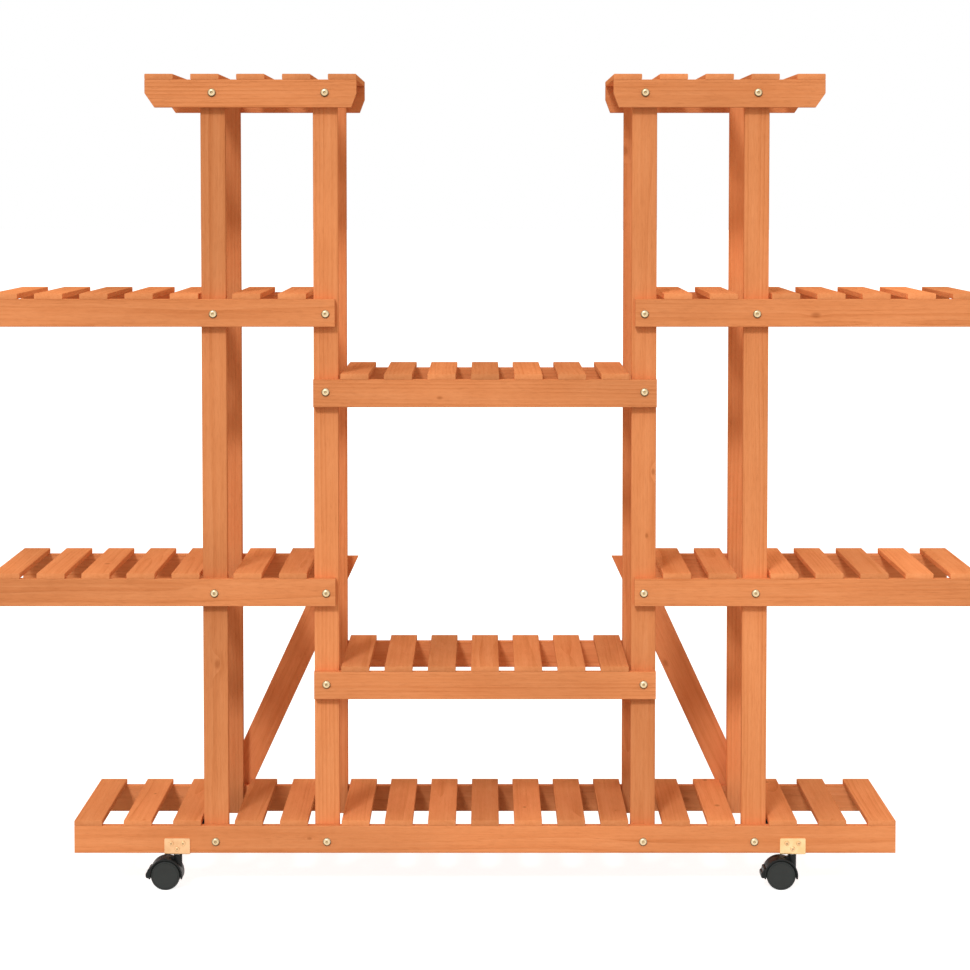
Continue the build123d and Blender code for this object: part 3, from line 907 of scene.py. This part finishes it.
def make_moulding_group():
    """Black moulded plastic: a fine spark-eroded grain with faint flow marks and scuffs."""
    tree, source, sink = new_group(
        "moulded_plastic",
        [("Place", "Vector"), ("Base", "Color"), ("Worn", "Color"), ("Dullness", "Float")],
    )
    place = source["Place"]
    flow = noise(tree, place, (70.0, 70.0, 140.0), 3.0, 0.6)
    grain = noise(tree, place, (2600.0, 2600.0, 2600.0), 2.0, 0.5)
    scuffs = remap(tree, noise(tree, place, (380.0, 380.0, 900.0), 4.0, 0.7), 0.56, 0.74)
    worn = math_node(tree, "MULTIPLY", scuffs, 0.5)
    colour = mix_colours(tree, worn, source["Base"], source["Worn"])
    shaded = scale_colour(tree, colour, remap(tree, flow, 0.25, 0.75, 0.88, 1.12))
    tree.links.new(shaded, sink["Color"])
    dull = remap(tree, flow, 0.3, 0.7, -0.05, 0.07)
    roughness = math_node(tree, "ADD", source["Dullness"], dull)
    tree.links.new(add_shares(tree, roughness, [(scuffs, 0.12)]), sink["Roughness"])
    tree.links.new(grain, sink["Height"])
    return tree


MOULDING = make_moulding_group()


def plastic_material(name, base, worn, dullness, gloss):
    values = {"Base": (*base, 1.0), "Worn": (*worn, 1.0), "Dullness": dullness}
    return grouped_material(
        name, MOULDING, values, 0.0, gloss, bump_strength=0.25, bump_distance=0.00003
    )


def finish_casters():
    brackets = {
        "left": plated_material("rosy_zinc_brackets", (0.70, 0.41, 0.21), (0.76, 0.48, 0.26), 0.42),
        "right": plated_material(
            "yellow_zinc_brackets", (0.77, 0.53, 0.26), (0.82, 0.61, 0.33), 0.42
        ),
    }
    steel = plated_material("bright_steel_pins", (0.55, 0.54, 0.52), (0.66, 0.65, 0.63), 0.24)
    dark, grey = (0.008, 0.009, 0.009), (0.020, 0.021, 0.021)
    hood = plastic_material("black_hood_plastic", dark, grey, 0.46, 0.22)
    pedal = plastic_material("black_pedal_plastic", dark, grey, 0.40, 0.26)
    wheel = plastic_material(
        "black_wheel_plastic", (0.020, 0.023, 0.022), (0.034, 0.036, 0.035), 0.44, 0.30
    )
    finishes = [("caster_kingpins", steel)]
    for row in ROWS:
        for side in SIDES:
            finishes += [
                (f"caster_bracket_{row}_{side}", brackets[side]),
                (f"caster_hood_{row}_{side}", hood),
                (f"caster_axle_{row}_{side}", steel),
                (f"caster_wheels_{row}_{side}", wheel),
            ]
    finishes += [(f"brake_pedal_{side}", pedal) for side in SIDES]
    for node, material in finishes:
        NODES[node].material_slots[0].material = material


# Floor, light and camera


def seen_rays(tree):
    """1 for camera, glossy and transmitted rays, which see the white surround."""
    path = add_node(tree, "ShaderNodeLightPath").outputs
    seen = math_node(tree, "MAXIMUM", path["Is Camera Ray"], path["Is Glossy Ray"])
    return math_node(tree, "MAXIMUM", seen, path["Is Transmission Ray"])


def make_floor():
    """A matt floor that shows white to the camera, apart from the stand's shadow."""
    bm = bmesh.new()
    bmesh.ops.create_grid(bm, x_segments=8, y_segments=8, size=FLOOR_SIZE)
    mesh = bpy.data.meshes.new("studio_floor")
    bm.to_mesh(mesh)
    bm.free()
    floor = bpy.data.objects.new("studio_floor", mesh)
    bpy.context.scene.collection.objects.link(floor)
    material = bpy.data.materials.new("white_floor")
    material.use_nodes = True
    tree = material.node_tree
    tree.nodes.clear()
    paint = add_node(tree, "ShaderNodeBsdfDiffuse", {"Color": (*FLOOR_PAINT, 1.0)})
    lift = math_node(tree, "MULTIPLY", seen_rays(tree), FLOOR_LIFT)
    glow = add_node(tree, "ShaderNodeEmission", {"Strength": lift})
    both = add_node(tree, "ShaderNodeAddShader", {0: paint.outputs[0], 1: glow.outputs[0]})
    add_node(tree, "ShaderNodeOutputMaterial", {"Surface": both.outputs[0]})
    mesh.materials.append(material)


def make_surround():
    """White seen behind the stand and in its metal, and a softer, warmer light on it."""
    world = bpy.data.worlds.new("studio")
    bpy.context.scene.world = world
    world.use_nodes = True
    tree = world.node_tree
    tree.nodes.clear()
    colour = mix_colours(tree, seen_rays(tree), AMBIENT, (1.0, 1.0, 1.0))
    glow = add_node(tree, "ShaderNodeBackground", {"Color": colour})
    add_node(tree, "ShaderNodeOutputWorld", {"Surface": glow.outputs[0]})


def make_key_light():
    """The main light: wide and soft, from the front, above and a little to the left."""
    light = bpy.data.lights.new("key_light", "SUN")
    light.energy = KEY_STRENGTH
    light.color = KEY_COLOUR
    light.angle = math.radians(KEY_WIDTH)
    key = bpy.data.objects.new("key_light", light)
    azimuth, elevation = math.radians(KEY_AZIMUTH), math.radians(KEY_ELEVATION)
    towards = Vector(
        (
            -math.sin(azimuth) * math.cos(elevation),
            -math.cos(azimuth) * math.cos(elevation),
            math.sin(elevation),
        )
    )
    key.rotation_euler = towards.to_track_quat("Z", "Y").to_euler()
    key.location = towards * 4
    bpy.context.scene.collection.objects.link(key)


def make_camera():
    """Straight in front and above the middle, tilted a little down in place of a larger shift."""
    data = bpy.data.cameras.new("camera")
    data.sensor_width = SENSOR
    data.lens = LENS
    data.shift_y = LENS_SHIFT
    camera = bpy.data.objects.new("camera", data)
    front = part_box("bottom_rail_front")[0].y
    camera.location = (0.0, front - CAMERA_DISTANCE, CAMERA_HEIGHT)
    camera.rotation_euler = Euler((math.radians(90 - CAMERA_TILT), 0.0, 0.0))
    bpy.context.scene.collection.objects.link(camera)
    bpy.context.scene.camera = camera


make_camera()
finish_boards()
make_slats()
make_bolts_and_nuts()
make_screws()
finish_casters()
make_floor()
make_surround()
make_key_light()
bpy.context.scene.view_settings.view_transform = "Standard"
